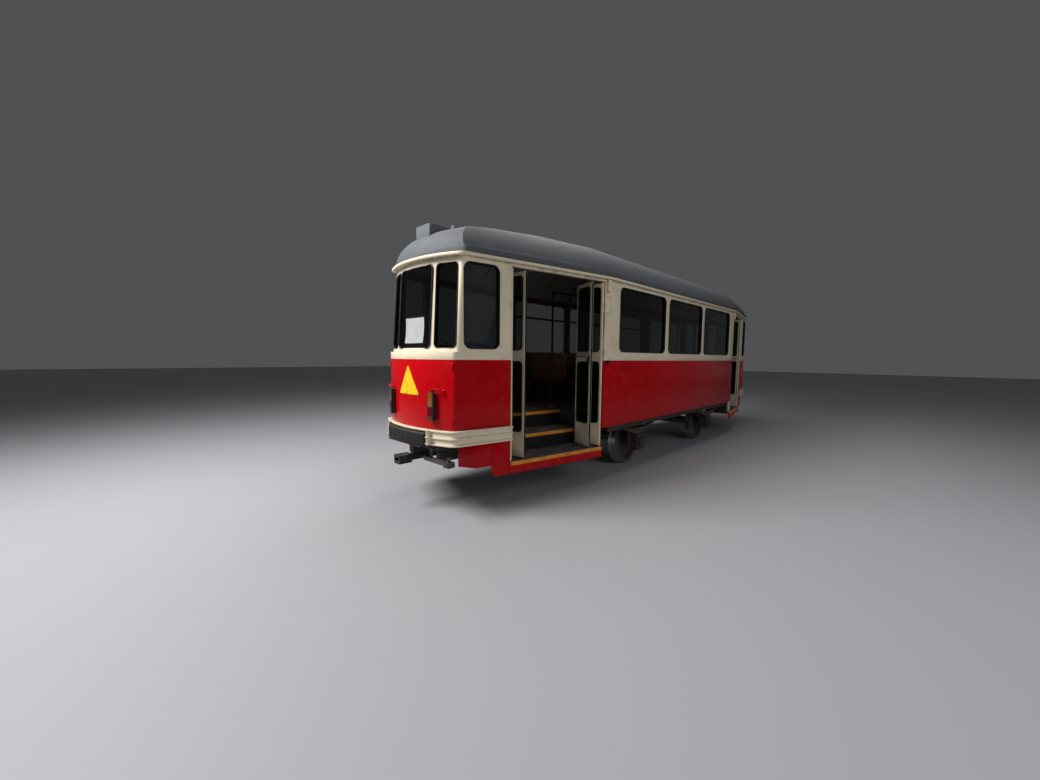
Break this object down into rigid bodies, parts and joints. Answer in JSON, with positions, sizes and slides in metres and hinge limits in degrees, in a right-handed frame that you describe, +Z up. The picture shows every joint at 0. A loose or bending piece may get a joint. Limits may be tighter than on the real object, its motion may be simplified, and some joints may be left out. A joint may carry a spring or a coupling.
{
  "type": "two-axle tram trailer car",
  "caption": "Tram trailer car with narrow bowed ends, red below and cream above under a grey domed roof, with folding doors and steps on one side and a swinging drawbar at each end.",
  "frame": {"origin": "on the ground under the middle of the car, at the level of the feet of the wheel flanges", "axes": "+X in the direction of travel, with the spare link stowed at the -X end; -Y is the door side; +Z up"},
  "size_m": [10.536, 2.28, 3.4566],
  "materials": {
    "red_paint": "gloss",
    "orange_paint": "satin",
    "cream_paint": "gloss",
    "grey_roof_paint": "satin",
    "window_glass": "gloss",
    "dark_trim": "satin",
    "black_rubber": "matte",
    "lamp_plastic": "gloss",
    "black_housing": "satin",
    "floor_covering": "matte",
    "black_frame_paint": "satin",
    "seat_covering": "satin",
    "wheel_steel": "matte"
  },
  "bodies": {
    "root": {"end_panels_rear": "red_paint", "end_panels_front": "red_paint", "side_panels": "red_paint", "skirts": "red_paint", "step_well_rear": "red_paint", "step_well_front": "red_paint", "step_nosings": "orange_paint", "end_frame_rear": "cream_paint", "end_frame_front": "cream_paint", "door_headers": "cream_paint", "saloon_frames": "cream_paint", "drip_rail": "cream_paint", "bumper_bands": "cream_paint", "roof": "grey_roof_paint", "roof_fittings": "grey_roof_paint", "platform_glass": "window_glass", "saloon_glass": "window_glass", "window_rails": "dark_trim", "handrails": "dark_trim", "brake_columns": "dark_trim", "buffers": "black_rubber", "tail_lenses": "lamp_plastic", "tail_lamps": "black_housing", "floor": "floor_covering", "sole_bars": "black_frame_paint", "cross_members": "black_frame_paint", "centre_sills": "black_frame_paint", "platform_sills": "black_frame_paint", "coupling_link": "black_frame_paint", "axleboxes": "black_frame_paint", "leaf_springs": "black_frame_paint", "brake_rigging": "black_frame_paint", "seats": "seat_covering"},
    "wheelset_rear": {"wheelset_rear": "wheel_steel"},
    "wheelset_front": {"wheelset_front": "wheel_steel"},
    "drawbar_rear": {"drawbar_rear": "black_frame_paint"},
    "drawbar_front": {"drawbar_front": "black_frame_paint"},
    "leaf_rear_1": {"leaf_rear_1": "cream_paint", "leaf_glass_rear_1": "window_glass"},
    "leaf_rear_2": {"leaf_rear_2": "cream_paint", "leaf_glass_rear_2": "window_glass"},
    "leaf_rear_3": {"leaf_rear_3": "cream_paint", "leaf_glass_rear_3": "window_glass"},
    "leaf_rear_4": {"leaf_rear_4": "cream_paint", "leaf_glass_rear_4": "window_glass"},
    "leaf_front_1": {"leaf_front_1": "cream_paint", "leaf_glass_front_1": "window_glass"},
    "leaf_front_2": {"leaf_front_2": "cream_paint", "leaf_glass_front_2": "window_glass"},
    "leaf_front_3": {"leaf_front_3": "cream_paint", "leaf_glass_front_3": "window_glass"},
    "leaf_front_4": {"leaf_front_4": "cream_paint", "leaf_glass_front_4": "window_glass"}
  },
  "joints": [
    {"name": "wheelset_rear_roll", "type": "hinge", "parent": "root", "child": "wheelset_rear", "pos_m": [-1.5, 0, 0.407], "axis": [0, 1, 0], "continuous": true},
    {"name": "wheelset_front_roll", "type": "hinge", "parent": "root", "child": "wheelset_front", "pos_m": [1.5, 0, 0.407], "axis": [0, 1, 0], "continuous": true},
    {"name": "drawbar_rear_swing", "type": "hinge", "parent": "root", "child": "drawbar_rear", "pos_m": [-4.3, 0, 0.572], "axis": [0, 0, 1], "range_deg": [-12, 12]},
    {"name": "drawbar_front_swing", "type": "hinge", "parent": "root", "child": "drawbar_front", "pos_m": [4.3, 0, 0.572], "axis": [0, 0, 1], "range_deg": [-12, 12]},
    {"name": "door_rear_leaf_1", "type": "hinge", "parent": "root", "child": "leaf_rear_1", "pos_m": [-4.21018, -0.77922, 1.648], "axis": [0, 0, 1], "range_deg": [-76.5, 3.5]},
    {"name": "door_rear_leaf_2", "type": "hinge", "parent": "leaf_rear_1", "child": "leaf_rear_2", "pos_m": [-4.0463, -0.4404, 1.648], "axis": [0, 0, 1], "range_deg": [-7, 153]},
    {"name": "door_rear_leaf_4", "type": "hinge", "parent": "root", "child": "leaf_rear_4", "pos_m": [-2.71653, -1.03926, 1.648], "axis": [0, 0, -1], "range_deg": [-77.5, 2.5]},
    {"name": "door_rear_leaf_3", "type": "hinge", "parent": "leaf_rear_4", "child": "leaf_rear_3", "pos_m": [-2.74973, -0.66436, 1.648], "axis": [0, 0, -1], "range_deg": [-5, 155]},
    {"name": "door_front_leaf_1", "type": "hinge", "parent": "root", "child": "leaf_front_1", "pos_m": [4.21018, -0.77922, 1.648], "axis": [0, 0, -1], "range_deg": [-76.5, 3.5]},
    {"name": "door_front_leaf_2", "type": "hinge", "parent": "leaf_front_1", "child": "leaf_front_2", "pos_m": [4.0463, -0.4404, 1.648], "axis": [0, 0, -1], "range_deg": [-7, 153]},
    {"name": "door_front_leaf_4", "type": "hinge", "parent": "root", "child": "leaf_front_4", "pos_m": [2.71653, -1.03926, 1.648], "axis": [0, 0, 1], "range_deg": [-77.5, 2.5]},
    {"name": "door_front_leaf_3", "type": "hinge", "parent": "leaf_front_4", "child": "leaf_front_3", "pos_m": [2.74973, -0.66436, 1.648], "axis": [0, 0, 1], "range_deg": [-5, 155]}
  ],
  "couplings": [
    {"joint": "door_rear_leaf_2", "follows": "door_rear_leaf_1", "ratio": -2},
    {"joint": "door_rear_leaf_3", "follows": "door_rear_leaf_4", "ratio": -2},
    {"joint": "door_front_leaf_2", "follows": "door_front_leaf_1", "ratio": -2},
    {"joint": "door_front_leaf_3", "follows": "door_front_leaf_4", "ratio": -2}
  ]
}
